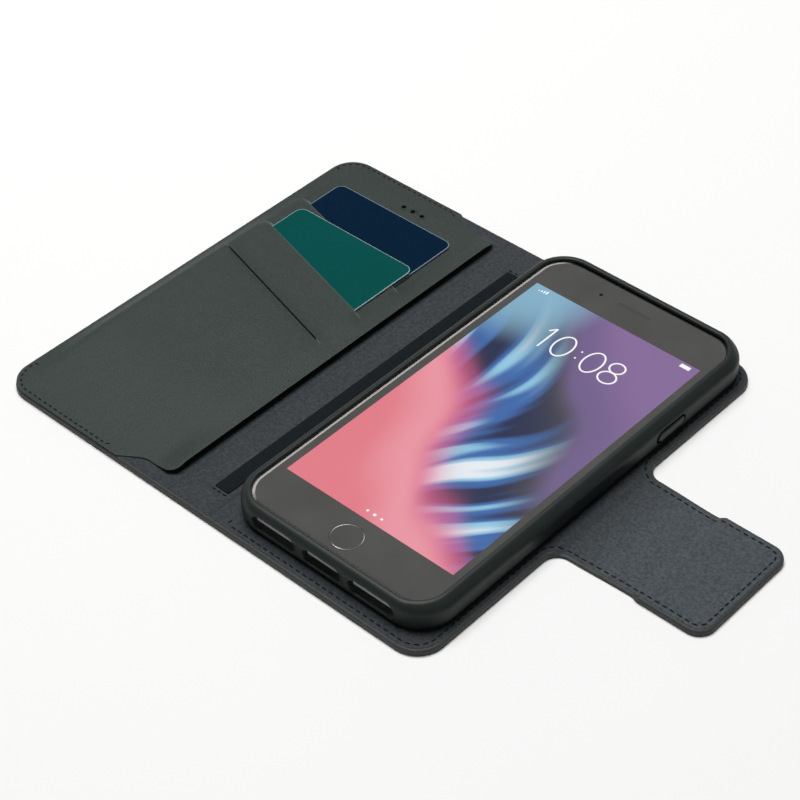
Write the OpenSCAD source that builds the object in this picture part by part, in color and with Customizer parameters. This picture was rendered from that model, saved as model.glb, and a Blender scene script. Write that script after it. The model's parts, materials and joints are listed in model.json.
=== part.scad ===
// Folio wallet for a phone, lying open and flat: a back cover with a moulded tray,
// a narrow spine, a front cover with a card wallet, and a closing tab with a magnet.
// Origin: underside of the back cover, on the tray's long centre line and half-way up
// the cover. +X points to the tab, +Y to the phone's top, +Z up. Millimetres.

/* [Phone] */
// Width of the phone
phone_w = 78.1; // [77:0.1:79]
// Height of the phone
phone_h = 158.4; // [156:0.1:160]
// Thickness of the phone
phone_t = 7.5; // [7.2:0.1:8]
// Corner radius of the phone, seen from the front
phone_r = 11; // [10:0.5:12]
// Width of the lit display
display_w = 68.4; // [66:0.1:69]
// Height of the lit display
display_h = 121.6; // [118:0.1:124]

/* [Tray] */
// Wall thickness of the moulded tray
tray_wall = 2.2; // [2:0.05:2.3]
// Floor thickness of the tray
tray_floor = 1.2; // [1:0.05:1.4]
// Height of the tray's rim above the phone's glass
rim_over_glass = 1.3; // [0.9:0.05:1.4]
// Clearance between the phone's sides and the tray
fit_gap = 0.3; // [0.2:0.05:0.4]
// Distance of the tray's centre above the cover's centre
tray_y = 2.7; // [0:0.1:3]

/* [Covers] */
// Height of both covers
cover_h = 168; // [166:0.5:174]
// Width of the front cover, from its fold to its outer edge
front_w = 78.1; // [76:0.5:82]
// Distance between the spine's two folds
spine_w = 18; // [18:0.1:20]
// Corner radius of the covers
cover_r = 10; // [7:0.5:12]
// Leather thickness
leather_t = 0.8; // [0.7:0.05:0.9]
// Stiffening board thickness
board_t = 1.1; // [1:0.05:1.2]
// Lining thickness
lining_t = 0.5; // [0.4:0.05:0.6]

/* [Tab] */
// Width of the closing tab
tab_w = 45.2; // [38:0.5:50]
// Distance between the tab's two folds
tab_side_l = 20.9; // [20.9:0.1:23]
// Length of the tab beyond its second fold
tab_end_l = 33.6; // [30:0.1:36]
// Corner radius at the tab's end
tab_r = 6; // [4:0.5:9]
// Fillet radius where the tab leaves the cover
tab_fillet = 5.5; // [3:0.5:8]

/* [Wallet] */
// Width of a bank card
card_w = 53.98; // [53.9:0.01:54.1]
// Height of a bank card
card_h = 85.6; // [85.4:0.01:85.8]
// Thickness of a bank card
card_t = 0.76; // [0.7:0.01:0.8]
// Corner radius of a bank card
card_r = 3.18; // [3:0.01:3.5]
// Slope of the three card slits, in degrees below the cards' short edge
slit_angle = 15.5; // [10:0.5:16]
// Length of a slit across the panel
slit_w = 60; // [57:0.5:60.5]
// Distance from one slit to the next, up the panel
slit_pitch = 19.3; // [18:0.1:20]
// Radius of each of the three small round holes
hole_r = 0.6; // [0.4:0.1:0.8]

/* [Hidden] */
$fn = 72;
eps = 0.01;
big = 400;

// Heights of the flat layers
board_z = leather_t;
lining_z = board_z + board_t;
cover_t = lining_z + lining_t;
axis_z = leather_t;
fold_gap = 0.15;
edge_inset = 1.2;
lining_inset = 0.4;

// Tray and phone, about the tray's own centre
cavity_hw = phone_w / 2 + fit_gap;
cavity_hh = phone_h / 2 + fit_gap;
cavity_r = phone_r + fit_gap + 0.05;
tray_hw = cavity_hw + tray_wall;
tray_hh = cavity_hh + tray_wall;
tray_r = cavity_r + tray_wall;
tray_foot_r = 2.1;
cavity_foot_r = 3.3;
phone_foot_r = 3.2;
phone_lip_r = 1.6;
phone_z = cover_t + tray_floor + 0.05;
glass_z = phone_z + phone_t;
glass_t = 0.7;
glass_inset = 2.1;
rim_z = glass_z + rim_over_glass;
mid_z = phone_z + phone_t / 2;

// Folds and edges across the open folio
cover_x1 = tray_hw + 2.75;
fold_back_x = -(tray_hw + 2.55);
fold_front_x = fold_back_x - spine_w;
cover_x0 = fold_front_x - front_w;
tab_fold_x = cover_x1 + 0.7;
tab_end_fold_x = tab_fold_x + tab_side_l;
tab_x1 = tab_end_fold_x + tab_end_l;
tab_plate_x = tab_end_fold_x + 9.3;

// Openings in the tray's walls, along the wall from the tray's centre
slot_h = 5.4;
port_w = 15;
speaker_w = 18;
speaker_x = 20;
button_z = mid_z - 0.3;
pad_h = 3.4;
pad_groove = 0.5;
pad_out = 0.35;
pad_in = 1.7;
power_y = 36;
power_l = 13.6;
volume_up_y = 41;
volume_down_y = 27;
volume_l = 11;
mute_y = 56;
mute_l = 10;
mute_h = 5.2;

// Camera window, through the back cover and the tray's floor
window_x = 18;
window_y = phone_h / 2 - 11.2;
window_w = 34;
window_h = 14;
bump_w = 22;
bump_h = 10.4;
bump_x = 22;
bump_t = 0.95;

// Home button, earpiece slot and their places on the glass
home_r = 5.35;
home_y = -(display_h / 2 + (phone_h - display_h) / 4);
ear_w = 13.6;
ear_h = 1.6;
ear_y = -home_y;

// Wallet panel, slits and cards
wallet_x1 = fold_front_x - 2.6;
wallet_notch = 5.8;
notch_x = wallet_x1 - 21;
wallet_corner_r = 4;
bill_gap = 0.5;
back_panel_z = cover_t + bill_gap;
back_panel_t = 0.3;
face_z = back_panel_z + back_panel_t;
face_t = 0.35;
liner_t = 0.2;
slip = 0.05;
slit_x = cover_x0 + 37;
slit_1_y = 4.7;
slit_2_y = slit_1_y + slit_pitch;
slit_3_y = slit_2_y + slit_pitch;
navy_z = face_z + face_t + slip;
plate_b_z = navy_z + card_t + slip;
green_z = plate_b_z + face_t + slip;
plate_c_z = green_z + card_t + slip;
plate_d_z = plate_c_z + face_t + slip;
card_x = slit_x + 0.9;
navy_top_y = 67;
green_top_y = 46.5;
pocket_inset_x = 4;
pocket_end_x = wallet_x1 - 1.5;
pocket_bottom_y = -77;
holes_y = 72.6;
holes_pitch = 4.3;

// Magnet in the tab's end and its steel keeper in the front cover
magnet_r = 6;
magnet_t = 0.7;
magnet_x = tab_x1 - 12.4;
magnet_pitch = 20;
keeper_w = 14;
keeper_h = 34;
keeper_x = fold_front_x - (tab_fold_x - (magnet_x - tab_end_fold_x) - fold_back_x);
strip_w = 6;
strip_h = 142;
strip_t = 0.4;
strip_y = -1.3;

// ---- Flat outlines ----

// Rectangle between two corners, with one radius on all four
module rounded_rect(x0, y0, x1, y1, r) {
    translate([x0 + r, y0]) square([x1 - x0 - 2 * r, y1 - y0]);
    translate([x0, y0 + r]) square([x1 - x0, y1 - y0 - 2 * r]);
    for (x = [x0 + r, x1 - r], y = [y0 + r, y1 - r]) translate([x, y]) circle(r);
}

// Slot with round ends, lying along X
module capsule(w, h) {
    square([w - h, h], center = true);
    for (s = [-1, 1]) translate([s * (w - h) / 2, 0]) circle(h / 2);
}

// Tab with round outer corners and a fillet on each side of its root
module tab_outline(inset) {
    half = tab_w / 2 - inset;
    fillet = tab_fillet + inset;
    root_x = cover_x1 - inset;
    rounded_rect(cover_x1 - 2 * tab_r - 4, -half, tab_x1 - inset, half, tab_r - inset);
    for (s = [0, 1]) mirror([0, s]) difference() {
        translate([root_x - eps, half - eps]) square(fillet);
        translate([root_x + fillet, half + fillet]) circle(fillet);
    }
}

// Whole open folio with its tab, drawn in by an inset
module folio_outline(inset) {
    hy = cover_h / 2 - inset;
    rounded_rect(cover_x0 + inset, -hy, cover_x1 - inset, hy, cover_r - inset);
    tab_outline(inset);
}

// The part of the folio between two places across it
module folio_part(x0, x1, inset) {
    intersection() {
        folio_outline(inset);
        translate([x0, -big / 2]) square([x1 - x0, big]);
    }
}

module window_outline() {
    translate([window_x, tray_y + window_y]) capsule(window_w, window_h);
}

// Wallet panel: the cover's outline as far as a notch at each inner corner
module wallet_outline(inset) {
    hy = cover_h / 2 - inset;
    step = hy - wallet_notch;
    x1 = wallet_x1 - inset;
    r = wallet_corner_r;
    difference() {
        intersection() {
            folio_outline(inset);
            translate([-big, -big / 2]) square([big + x1, big]);
        }
        for (s = [0, 1]) mirror([0, s]) {
            polygon([[notch_x, hy + eps], [notch_x + 8.5, step], [x1 + 1, step], [x1 + 1, hy + eps]]);
            difference() {
                translate([x1 - r, step - r]) square(r + eps);
                translate([x1 - r, step - r]) circle(r);
            }
        }
    }
}

// Everything below a slit, within the pockets' width
module below_slit(y) {
    fall = tan(slit_angle) * slit_w / 2;
    x0 = slit_x - slit_w / 2;
    x1 = slit_x + slit_w / 2;
    polygon([[x0, y + fall], [x1, y - fall], [x1, pocket_bottom_y], [x0, pocket_bottom_y]]);
}

// Everything below a slit's line, out to the pocket block's edges
module below_line(y) {
    x0 = cover_x0 + pocket_inset_x;
    x1 = pocket_end_x;
    y0 = y + tan(slit_angle) * (slit_x - x0);
    y1 = y - tan(slit_angle) * (x1 - slit_x);
    polygon([[x0, y0], [x1, y1], [x1, pocket_bottom_y], [x0, pocket_bottom_y]]);
}

// Pocket space for one card below its slit
module card_space(y, bottom_y) {
    intersection() {
        below_slit(y);
        translate([slit_x - slit_w / 2, bottom_y]) square([slit_w, big]);
    }
}

// ---- Swept edges ----

// Carries a profile round a rounded rectangle; the profile's X is measured from the corner's centre
module around(hx, hy, r) {
    for (s = [0, 1]) {
        mirror([s, 0, 0]) translate([hx - r, hy - r, 0]) rotate([90, 0, 0])
            linear_extrude(2 * (hy - r)) children();
        mirror([0, s, 0]) translate([-(hx - r), hy - r, 0]) rotate([90, 0, 90])
            linear_extrude(2 * (hx - r)) children();
        for (t = [0, 1]) mirror([s, 0, 0]) mirror([0, t, 0])
            translate([hx - r, hy - r, 0]) rotate_extrude(angle = 90) children();
    }
}

// Wall of the tray: a rounded foot, an upright wall and a fully rounded lip
module tray_profile() {
    lip = tray_wall / 2;
    foot_x = tray_r - tray_foot_r;
    foot_z = cover_t + tray_foot_r;
    hollow_x = cavity_r - cavity_foot_r;
    hollow_z = cover_t + tray_floor + cavity_foot_r;
    difference() {
        union() {
            translate([hollow_x, cover_t]) square([foot_x - hollow_x, tray_foot_r]);
            intersection() {
                translate([foot_x, foot_z]) circle(tray_foot_r);
                translate([foot_x, cover_t]) square(tray_foot_r);
            }
            translate([hollow_x, foot_z]) square([tray_r - hollow_x, rim_z - lip - foot_z]);
        }
        translate([hollow_x, hollow_z]) circle(cavity_foot_r);
        translate([hollow_x - eps, hollow_z]) square([cavity_foot_r + eps, big]);
    }
    translate([tray_r - lip, rim_z - lip]) circle(lip);
}

// Half-section of the phone's housing, from the corner's centre outwards
module housing_profile() {
    top_z = glass_z - 0.1;
    square_x = phone_r - phone_foot_r;
    translate([0, phone_z]) square([square_x, top_z - phone_z]);
    translate([square_x, phone_z + phone_foot_r])
        square([phone_foot_r, top_z - phone_lip_r - phone_z - phone_foot_r]);
    translate([square_x, phone_z + phone_foot_r]) circle(phone_foot_r);
    translate([square_x, top_z - phone_lip_r - 1]) square([phone_foot_r - phone_lip_r, phone_lip_r + 1]);
    translate([phone_r - phone_lip_r, top_z - phone_lip_r]) circle(phone_lip_r);
}

// Runs an upright outline through the tray's bottom wall, or through a side wall
module through_bottom(x, w, h) {
    translate([x, -tray_hh - 1, mid_z]) rotate([-90, 0, 0]) linear_extrude(4) capsule(w, h);
}

module through_side(side, y, w, h) {
    translate([side * (tray_hw - 3), y, button_z]) rotate([90, 0, 90 * side]) linear_extrude(4)
        capsule(w, h);
}

// Button pad standing in its slot in the tray's side
module button_pad(side, y, l) {
    translate([side * (tray_hw - pad_in), tray_y + y, button_z]) rotate([90, 0, 90 * side])
        linear_extrude(pad_in + pad_out) capsule(l, pad_h);
}

// ---- Back cover and tray ----

module back_cover_leather() {
    color("#3f4442") linear_extrude(leather_t) difference() {
        folio_part(fold_back_x + fold_gap, tab_fold_x - fold_gap, 0);
        window_outline();
    }
}

module back_cover_board() {
    x0 = fold_back_x + fold_gap + board_t;
    color("#b8ab92") translate([0, 0, board_z]) linear_extrude(board_t) difference() {
        folio_part(x0, cover_x1 - edge_inset, edge_inset);
        window_outline();
    }
}

module back_cover_lining() {
    x0 = fold_back_x + fold_gap + cover_t - axis_z;
    color("#53565b") translate([0, 0, lining_z]) linear_extrude(lining_t) difference() {
        folio_part(x0, cover_x1 - lining_inset, lining_inset);
        window_outline();
    }
}

module phone_tray() {
    foot_hw = tray_hw - tray_foot_r;
    foot_hh = tray_hh - tray_foot_r;
    color("#2c3332") difference() {
        translate([0, tray_y, 0]) {
            difference() {
                union() {
                    around(tray_hw, tray_hh, tray_r) tray_profile();
                    translate([0, 0, cover_t]) linear_extrude(tray_floor)
                        rounded_rect(-foot_hw, -foot_hh, foot_hw, foot_hh, tray_r - tray_foot_r);
                }
                through_bottom(0, port_w, slot_h);
                for (s = [-1, 1]) through_bottom(s * speaker_x, speaker_w, slot_h);
                through_side(1, power_y, power_l + 2 * pad_groove, pad_h + 2 * pad_groove);
                through_side(-1, volume_up_y, volume_l + 2 * pad_groove, pad_h + 2 * pad_groove);
                through_side(-1, volume_down_y, volume_l + 2 * pad_groove, pad_h + 2 * pad_groove);
                through_side(-1, mute_y, mute_l, mute_h);
            }
        }
        translate([0, 0, cover_t - 1]) linear_extrude(tray_floor + 2) window_outline();
    }
}

module power_button() {
    color("#343b3a") button_pad(1, power_y, power_l);
}

module volume_up_button() {
    color("#343b3a") button_pad(-1, volume_up_y, volume_l);
}

module volume_down_button() {
    color("#343b3a") button_pad(-1, volume_down_y, volume_l);
}

// ---- Spine ----

module spine_leather() {
    color("#3f4442") linear_extrude(leather_t)
        folio_part(fold_front_x + fold_gap, fold_back_x - fold_gap, 0);
}

module spine_stiffener() {
    back_off = fold_gap + board_t;
    color("#b8ab92") translate([0, 0, board_z]) linear_extrude(board_t)
        folio_part(fold_front_x + back_off, fold_back_x - back_off, edge_inset);
}

module spine_lining() {
    back_off = fold_gap + cover_t - axis_z;
    color("#53565b") translate([0, 0, lining_z]) linear_extrude(lining_t)
        folio_part(fold_front_x + back_off, fold_back_x - back_off, lining_inset);
}

module spine_strip() {
    x1 = fold_back_x - fold_gap - (cover_t + strip_t - axis_z);
    color("#1c262c") translate([x1 - strip_w, strip_y - strip_h / 2, cover_t])
        cube([strip_w, strip_h, strip_t]);
}

// ---- Front cover and wallet ----

module front_cover_leather() {
    color("#3f4442") linear_extrude(leather_t)
        folio_part(cover_x0, fold_front_x - fold_gap, 0);
}

module keeper_outline(gap) {
    translate([keeper_x - keeper_w / 2 - gap, -keeper_h / 2 - gap])
        square([keeper_w + 2 * gap, keeper_h + 2 * gap]);
}

module front_cover_board() {
    color("#b8ab92") translate([0, 0, board_z]) linear_extrude(board_t) difference() {
        folio_part(cover_x0, fold_front_x - fold_gap - board_t, edge_inset);
        keeper_outline(0.2);
    }
}

module keeper_plate() {
    color("#8d9092") translate([0, 0, board_z]) linear_extrude(board_t) keeper_outline(0);
}

module front_cover_lining() {
    color("#53565b") translate([0, 0, lining_z]) linear_extrude(lining_t)
        folio_part(cover_x0, fold_front_x - fold_gap - (cover_t - axis_z), lining_inset);
}

// Back of the wallet, held off the lining by its turned edge so that notes slip under it
module wallet_back_panel() {
    rim = 2.2;
    color("#3a403e") {
        translate([0, 0, back_panel_z]) linear_extrude(back_panel_t) wallet_outline(lining_inset);
        translate([0, 0, cover_t]) linear_extrude(bill_gap) difference() {
            intersection() {
                wallet_outline(lining_inset);
                translate([-big, -big / 2]) square([big + notch_x, big]);
            }
            translate([cover_x0 + lining_inset + rim, -cover_h / 2 + lining_inset + rim])
                square([front_w, cover_h - 2 * (lining_inset + rim)]);
        }
    }
}

// One sheet with three slits; it steps up over each pocket
module wallet_face() {
    plate_tops = [plate_b_z, plate_c_z, plate_d_z];
    slits = [slit_3_y, slit_2_y, slit_1_y];
    color("#444a48") translate([0, 0, face_z]) difference() {
        union() {
            linear_extrude(face_t) wallet_outline(0);
            for (i = [0:2]) linear_extrude(plate_tops[i] + face_t - face_z) below_line(slits[i]);
        }
        for (i = [0:2]) translate([0, 0, -eps]) linear_extrude(plate_tops[i] - face_z + eps)
            card_space(slits[i], pocket_floor_y(i));
        for (i = [-1:1]) translate([slit_x + 4 + i * holes_pitch, holes_y, -1]) cylinder(3, r = hole_r);
    }
}

// Where each pocket ends, below the card it holds
function pocket_floor_y(i) = [navy_top_y, green_top_y, green_top_y - slit_pitch][i] - card_h - 0.4;

// Thin fabric behind each card, from its slit down to the pocket's end
module pocket_liner(i, z, t, y) {
    color("#2a2d2f") translate([0, 0, z]) linear_extrude(t) card_space(y, pocket_floor_y(i) + 0.1);
}

module pocket_liner_upper() {
    pocket_liner(0, face_z, face_t - slip, slit_3_y - eps);
}

module pocket_liner_middle() {
    pocket_liner(1, plate_b_z, liner_t, slit_2_y - eps);
}

module pocket_liner_lower() {
    pocket_liner(2, plate_c_z, liner_t, slit_1_y - eps);
}

module card(z, top_y) {
    x0 = card_x - card_w / 2;
    translate([0, 0, z]) linear_extrude(card_t)
        rounded_rect(x0, top_y - card_h, x0 + card_w, top_y, card_r);
}

module card_green() {
    color("#19534f") card(green_z, green_top_y);
}

module card_navy() {
    color("#062640") card(navy_z, navy_top_y);
}

// ---- Closing tab ----

module tab_side_leather() {
    color("#3f4442") linear_extrude(leather_t)
        folio_part(tab_fold_x + fold_gap, tab_end_fold_x - fold_gap, 0);
}

module tab_side_lining() {
    back_off = fold_gap + lining_t;
    color("#53565b") translate([0, 0, leather_t]) linear_extrude(lining_t)
        folio_part(tab_fold_x + back_off, tab_end_fold_x - back_off, lining_inset);
}

module tab_end_leather() {
    color("#3f4442") linear_extrude(leather_t) folio_part(tab_end_fold_x + fold_gap, tab_x1, 0);
}

module tab_end_board() {
    color("#b8ab92") translate([0, 0, board_z]) difference() {
        linear_extrude(board_t) folio_part(tab_plate_x, tab_x1, edge_inset);
        for (s = [-0.5, 0.5]) translate([magnet_x, s * magnet_pitch, board_t - magnet_t])
            cylinder(2, r = magnet_r + 0.1);
    }
}

// Lining that lies on the leather, then climbs over the stiffened end
module tab_end_lining() {
    x0 = tab_end_fold_x + fold_gap + lining_t;
    color("#53565b") {
        translate([0, 0, leather_t]) linear_extrude(lining_t) folio_part(x0, tab_plate_x - 0.1, lining_inset);
        translate([0, 0, leather_t]) linear_extrude(board_t + lining_t)
            folio_part(tab_plate_x - 0.1 - lining_t, tab_plate_x - 0.1, lining_inset);
        translate([0, 0, lining_z]) linear_extrude(lining_t)
            folio_part(tab_plate_x - 0.1 - lining_t, tab_x1, lining_inset);
    }
}

module tab_magnets() {
    color("#8d9092") for (s = [-0.5, 0.5])
        translate([magnet_x, s * magnet_pitch, lining_z - magnet_t]) cylinder(magnet_t, r = magnet_r);
}

// ---- Phone ----

module phone_housing() {
    hw = phone_w / 2;
    hh = phone_h / 2;
    top_z = glass_z - 0.1;
    color("#8f9190") translate([0, tray_y, 0]) difference() {
        union() {
            around(hw, hh, phone_r) housing_profile();
            translate([-(hw - phone_r), -(hh - phone_r), phone_z])
                cube([2 * (hw - phone_r), 2 * (hh - phone_r), top_z - phone_z]);
        }
        translate([0, 0, glass_z - glass_t]) linear_extrude(2)
            rounded_rect(-hw + glass_inset, -hh + glass_inset, hw - glass_inset, hh - glass_inset,
                         phone_r - glass_inset);
        translate([0, -hh - 1, mid_z]) rotate([-90, 0, 0]) linear_extrude(7) capsule(8.6, 2.9);
        for (s = [-1, 1], i = [0:5]) translate([s * (12.2 + 2.9 * i), -hh - 1, mid_z])
            rotate([-90, 0, 0]) cylinder(3, r = 0.75);
    }
}

module phone_front_glass() {
    hw = phone_w / 2 - glass_inset - 0.03;
    hh = phone_h / 2 - glass_inset - 0.03;
    color("#52524f") translate([0, tray_y, glass_z - glass_t + 0.02]) difference() {
        linear_extrude(glass_t - 0.02) rounded_rect(-hw, -hh, hw, hh, phone_r - glass_inset - 0.03);
        translate([-display_w / 2, -display_h / 2, -1]) cube([display_w, display_h, 3]);
        translate([0, home_y, -1]) cylinder(3, r = home_r + 0.1);
        translate([0, ear_y, glass_t - 0.3]) linear_extrude(1) capsule(ear_w, ear_h);
    }
}

module phone_display() {
    gap = 0.02;
    color("#d9708f") translate([-display_w / 2 + gap, tray_y - display_h / 2 + gap, glass_z - glass_t + 0.05])
        cube([display_w - 2 * gap, display_h - 2 * gap, glass_t - 0.05]);
}

module phone_home_button() {
    color("#484846") translate([0, tray_y + home_y, glass_z - glass_t + 0.05])
        cylinder(glass_t - 0.12, r = home_r);
}

// Raised pill with its two lenses, standing into the tray's window
module phone_camera() {
    color("#1c1d1f") translate([bump_x, tray_y + window_y, phone_z - bump_t]) {
        linear_extrude(bump_t) capsule(bump_w, bump_h);
        for (s = [-1, 1]) translate([s * 5.6, 0, -0.05]) cylinder(0.2, r = 3.6);
    }
}

back_cover_leather();
back_cover_board();
back_cover_lining();
phone_tray();
spine_leather();
spine_stiffener();
spine_lining();
spine_strip();
front_cover_leather();
front_cover_board();
front_cover_lining();
keeper_plate();
wallet_back_panel();
wallet_face();
pocket_liner_upper();
pocket_liner_middle();
pocket_liner_lower();
tab_side_leather();
tab_side_lining();
tab_end_leather();
tab_end_board();
tab_end_lining();
tab_magnets();
power_button();
volume_up_button();
volume_down_button();
phone_housing();
phone_front_glass();
phone_display();
phone_home_button();
phone_camera();
card_green();
card_navy();
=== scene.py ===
import json
import math
import random

import bmesh
import bpy
import numpy as np
from mathutils import Matrix, Vector
from mathutils.geometry import tessellate_polygon


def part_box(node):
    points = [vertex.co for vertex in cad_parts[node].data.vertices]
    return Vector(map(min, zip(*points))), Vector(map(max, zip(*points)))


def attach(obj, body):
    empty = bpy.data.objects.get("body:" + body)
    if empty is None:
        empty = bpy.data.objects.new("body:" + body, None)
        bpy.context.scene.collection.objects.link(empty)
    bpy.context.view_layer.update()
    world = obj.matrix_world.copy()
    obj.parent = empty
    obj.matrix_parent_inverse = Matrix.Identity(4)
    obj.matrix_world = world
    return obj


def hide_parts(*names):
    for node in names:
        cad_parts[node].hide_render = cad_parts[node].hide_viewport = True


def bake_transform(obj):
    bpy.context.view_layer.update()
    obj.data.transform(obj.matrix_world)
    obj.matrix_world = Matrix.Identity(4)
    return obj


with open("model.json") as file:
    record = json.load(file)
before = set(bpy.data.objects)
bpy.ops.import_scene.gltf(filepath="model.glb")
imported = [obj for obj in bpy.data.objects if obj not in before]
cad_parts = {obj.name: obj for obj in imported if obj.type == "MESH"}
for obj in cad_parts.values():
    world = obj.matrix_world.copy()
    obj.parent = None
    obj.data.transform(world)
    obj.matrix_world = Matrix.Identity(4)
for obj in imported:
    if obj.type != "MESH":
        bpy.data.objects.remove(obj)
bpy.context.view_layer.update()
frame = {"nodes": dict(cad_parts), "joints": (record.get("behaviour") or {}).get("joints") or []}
random.seed(7)

MM = 0.001
TOLERANCE = 1e-5

# ---- Measurements taken from the CAD model, in millimetres ----


def box(node):
    low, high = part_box(node)
    return np.array(low) / MM, np.array(high) / MM


JOINT_X = {
    j["name"]: j["pos_m"][0] / MM for j in frame["joints"] if j["type"] == "hinge"
}
FOLD_FRONT = JOINT_X["front_fold"]
FOLD_BACK = JOINT_X["spine_fold"]
FOLD_TAB = JOINT_X["tab_fold"]
FOLD_TAB_END = JOINT_X["tab_end_fold"]
LINING_INSET = 0.4
COVER_X0 = box("front_cover_leather")[0][0]
COVER_X1 = box("back_cover_lining")[1][0] + LINING_INSET
HALF_H = box("back_cover_leather")[1][1]
COVER_T = box("back_cover_lining")[1][2]
TAB_X1 = box("tab_end_leather")[1][0]
TAB_HALF = box("tab_end_leather")[1][1]
TAB_PLATE_X = box("tab_end_board")[0][0]
TAB_SIDE_T = box("tab_side_lining")[1][2]
COVER_R = 10.0
TAB_R = 6.0
TAB_FILLET = 5.5
TRAY_LOW, TRAY_HIGH = box("phone_tray")
TRAY_Y = (TRAY_LOW[1] + TRAY_HIGH[1]) / 2
GLASS_HIGH = box("phone_front_glass")[1]
DISPLAY_LOW, DISPLAY_HIGH = box("phone_display")
HOUSING_LOW = box("phone_housing")[0]
WALLET_HIGH = box("wallet_face")[1]
GREEN_LOW, GREEN_HIGH = box("card_green")
NAVY_LOW = box("card_navy")[0]
MID_SPINE = (FOLD_FRONT + FOLD_BACK) / 2
MID_TAB_SIDE = (FOLD_TAB + FOLD_TAB_END) / 2

# ---- Flat outlines ----


def round_poly(corners, step=12.0):
    """Points round a polygon given as (x, y, radius), anticlockwise."""
    out = []
    n = len(corners)
    for i, (x, y, r) in enumerate(corners):
        p = np.array([x, y])
        a = np.array(corners[i - 1][:2]) - p
        b = np.array(corners[(i + 1) % n][:2]) - p
        a, b = a / np.linalg.norm(a), b / np.linalg.norm(b)
        if r <= 0:
            out.append(p)
            continue
        between = math.acos(np.clip(a @ b, -1, 1))
        reach = r / math.tan(between / 2)
        centre = p + (a + b) / np.linalg.norm(a + b) * r / math.sin(between / 2)
        s, e = p + a * reach - centre, p + b * reach - centre
        t0 = math.atan2(s[1], s[0])
        turn = (math.atan2(e[1], e[0]) - t0 + math.pi) % (2 * math.pi) - math.pi
        k = max(2, math.ceil(abs(math.degrees(turn)) / step))
        for j in range(k + 1):
            t = t0 + turn * j / k
            out.append(centre + r * np.array([math.cos(t), math.sin(t)]))
    return np.array(out)


def inset(points, d):
    """The outline moved inwards by d; it is anticlockwise and has no doubled points."""
    p = np.asarray(points, float)
    before = p - np.roll(p, 1, 0)
    after = np.roll(p, -1, 0) - p
    nb = np.c_[-before[:, 1], before[:, 0]] / np.linalg.norm(before, axis=1)[:, None]
    na = np.c_[-after[:, 1], after[:, 0]] / np.linalg.norm(after, axis=1)[:, None]
    m = nb + na
    return p + m * (2 * d / (m * m).sum(1))[:, None]


def rect(x0, y0, x1, y1, r, step=9.0):
    return round_poly([(x0, y0, r), (x1, y0, r), (x1, y1, r), (x0, y1, r)], step)


def capsule(w, h, step=15.0):
    return rect(-w / 2, -h / 2, w / 2, h / 2, h / 2 - 0.01, step)


def smooth(t):
    t = np.clip(t, 0, 1)
    return t * t * (3 - 2 * t)


FOLIO = round_poly(
    [
        (COVER_X0, -HALF_H, COVER_R),
        (COVER_X1, -HALF_H, COVER_R),
        (COVER_X1, -TAB_HALF, TAB_FILLET),
        (TAB_X1, -TAB_HALF, TAB_R),
        (TAB_X1, TAB_HALF, TAB_R),
        (COVER_X1, TAB_HALF, TAB_FILLET),
        (COVER_X1, HALF_H, COVER_R),
        (COVER_X0, HALF_H, COVER_R),
    ],
    7.5,
)


WAIST = 0.75
WAIST_RUN = 24.0


def tab_shape(p):
    """Narrows the tab a little before its stiffened end, and thins it between its folds."""
    x, y, z = p
    if x <= COVER_X1 - 4:
        return p
    run = smooth((x - COVER_X1 - 4) / WAIST_RUN)
    waist = WAIST * run * (1 - smooth((x - TAB_PLATE_X + 2.2) / 2.4))
    thin = smooth((x - COVER_X1) / 3) * (1 - smooth((x - TAB_PLATE_X + 2.2) / 2.6))
    share = 1 - thin * (1 - TAB_SIDE_T / COVER_T)
    return (x, y * (1 - waist / TAB_HALF), z * share)


# ---- Meshes ----


def to_object(name, bm, body=None, materials=(), angle=38.0, closed=True):
    """Makes the object from a mesh in millimetres and keeps where each point lay, for its textures."""
    mesh = bpy.data.meshes.new(name)
    if closed:
        bmesh.ops.recalc_face_normals(bm, faces=bm.faces)
    bm.to_mesh(mesh)
    bm.free()
    for m in materials:
        mesh.materials.append(m)
    obj = bpy.data.objects.new(name, mesh)
    bpy.context.scene.collection.objects.link(obj)
    finish_mesh(obj, angle)
    if body:
        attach(obj, body)
    return obj


def finish_mesh(obj, angle=38.0):
    mesh = obj.data
    co = np.zeros(len(mesh.vertices) * 3, np.float32)
    mesh.vertices.foreach_get("co", co)
    rest = mesh.attributes.get("rest") or mesh.attributes.new("rest", "FLOAT_VECTOR", "POINT")
    rest.data.foreach_set("vector", co)
    mesh.vertices.foreach_set("co", co * MM)
    mesh.shade_smooth()
    mesh.set_sharp_from_angle(angle=math.radians(angle))
    mesh.update()


def bake(obj):
    """Puts the object's modifiers into its mesh."""
    bpy.context.view_layer.update()
    graph = bpy.context.evaluated_depsgraph_get()
    mesh = bpy.data.meshes.new_from_object(obj.evaluated_get(graph))
    old = obj.data
    obj.modifiers.clear()
    obj.data = mesh
    bpy.data.meshes.remove(old)
    return obj


def fill(bm, loop):
    for corners in tessellate_polygon([[v.co for v in loop]]):
        bm.faces.new([loop[i] for i in corners])


def ring_solid(outline, rings, edge=None):
    """A closed solid from rings of (inset, height); edge gives each ring's share of the pale edge
    colour from 0 to 1: wear on the leather, a painted highlight on the tray's lip.
    """
    bm = bmesh.new()
    layer = bm.verts.layers.float.new("edge")
    made = []
    for k, (d, z) in enumerate(rings):
        points = inset(outline, d) if d else outline
        row = []
        for x, y in points:
            v = bm.verts.new((x, y, z))
            v[layer] = edge[k] if edge else 0.0
            row.append(v)
        made.append(row)
    for a, b in zip(made, made[1:]):
        n = len(a)
        for i in range(n):
            bm.faces.new((a[i], a[(i + 1) % n], b[(i + 1) % n], b[i]))
    fill(bm, made[0])
    fill(bm, made[-1])
    return bm


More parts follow.
